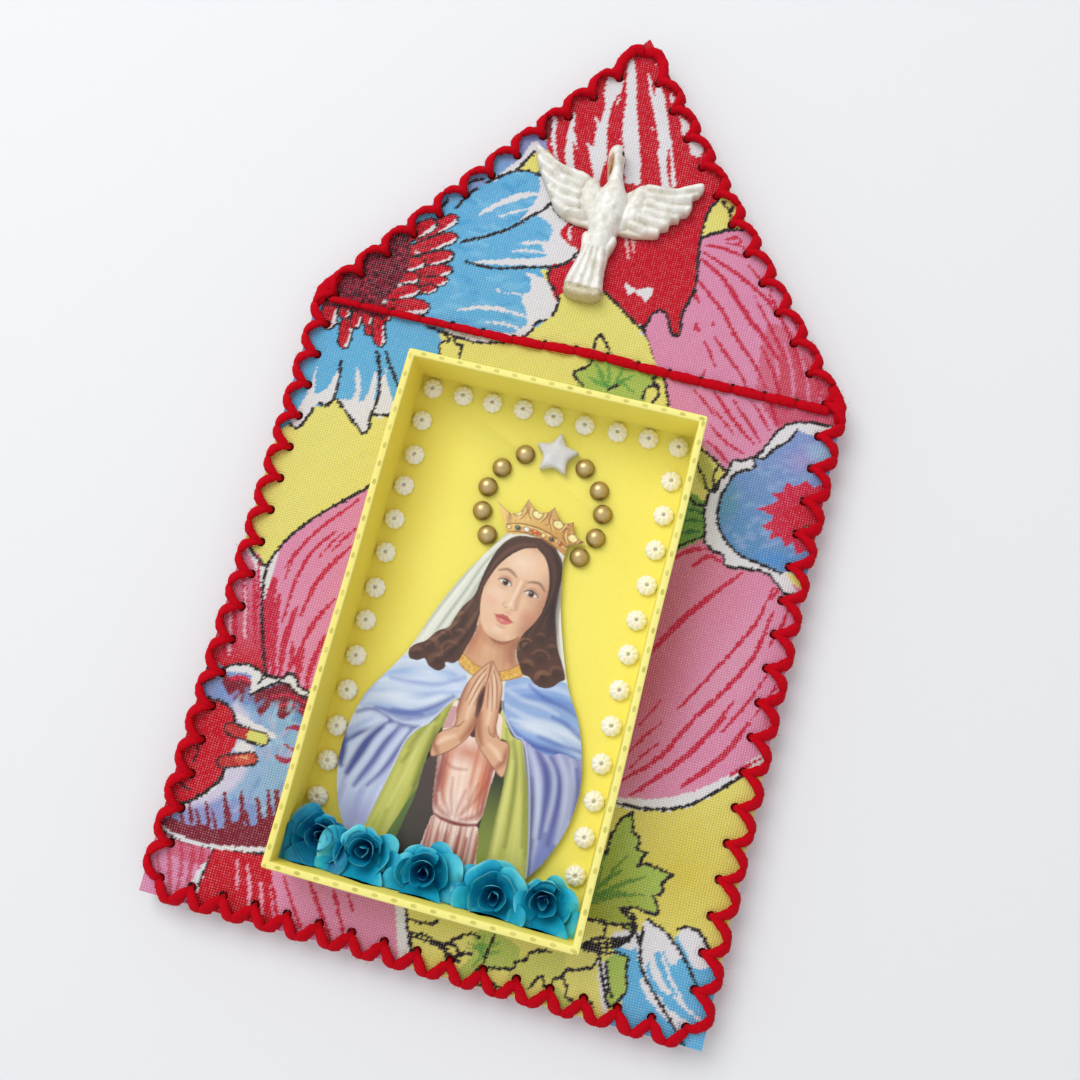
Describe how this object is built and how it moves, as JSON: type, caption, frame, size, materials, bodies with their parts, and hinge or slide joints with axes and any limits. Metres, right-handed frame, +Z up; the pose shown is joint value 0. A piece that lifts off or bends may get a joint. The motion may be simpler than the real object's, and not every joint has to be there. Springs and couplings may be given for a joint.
{
  "type": "small wall chapel",
  "caption": "House-shaped wall chapel: cloth-covered board edged with wool stitches, a shallow paper tray with a card figure, halo beads, a star and paper roses, and a dove on the gable.",
  "frame": {"origin": "on the wall plane, at the middle stitch of the bottom edge: the oversewn wool round the edge is what touches the wall", "axes": "+Z up towards the gable, the front faces -Y, +X to the viewer's right"},
  "size_m": [0.1374, 0.0239, 0.2408],
  "materials": {
    "greyboard": "raw grey board, cut edge",
    "printed_cotton": "plain-weave cotton with a large printed flower pattern",
    "lining_cotton": "plain-weave cotton",
    "red_wool": "soft plied wool yarn",
    "yellow_paper": "matt craft paper with small dots on the rim",
    "printed_card": "satin printed card",
    "old_gold": "metallised old gold",
    "star_plastic": "pale grey, softly glossy",
    "pearl_plastic": "pearly",
    "blue_paper": "dyed mulberry paper",
    "silver_resin": "cast resin with pale silver paint"
  },
  "bodies": {
    "root": {"back_lining": "lining_cotton", "backing_board": "greyboard", "front_cloth": "printed_cotton", "stitches_left_side": "red_wool", "stitches_left_roof": "red_wool", "stitches_right_roof": "red_wool", "stitches_right_side": "red_wool", "stitches_bottom": "red_wool", "eaves_stitches_front": "red_wool", "eaves_stitches_back": "red_wool", "tray_floor": "yellow_paper", "tray_left_wall": "yellow_paper", "tray_right_wall": "yellow_paper", "tray_top_wall": "yellow_paper", "tray_bottom_wall": "yellow_paper", "madonna_card": "printed_card", "halo_star": "star_plastic", "halo_bead_1": "old_gold", "halo_bead_2": "old_gold", "halo_bead_3": "old_gold", "halo_bead_4": "old_gold", "halo_bead_5": "old_gold", "halo_bead_6": "old_gold", "halo_bead_7": "old_gold", "halo_bead_8": "old_gold", "halo_bead_9": "old_gold", "halo_bead_10": "old_gold", "paper_rose_1": "blue_paper", "paper_rose_2": "blue_paper", "paper_rose_3": "blue_paper", "paper_rose_4": "blue_paper", "paper_rose_5": "blue_paper", "dove": "silver_resin"}
  },
  "joints": []
}
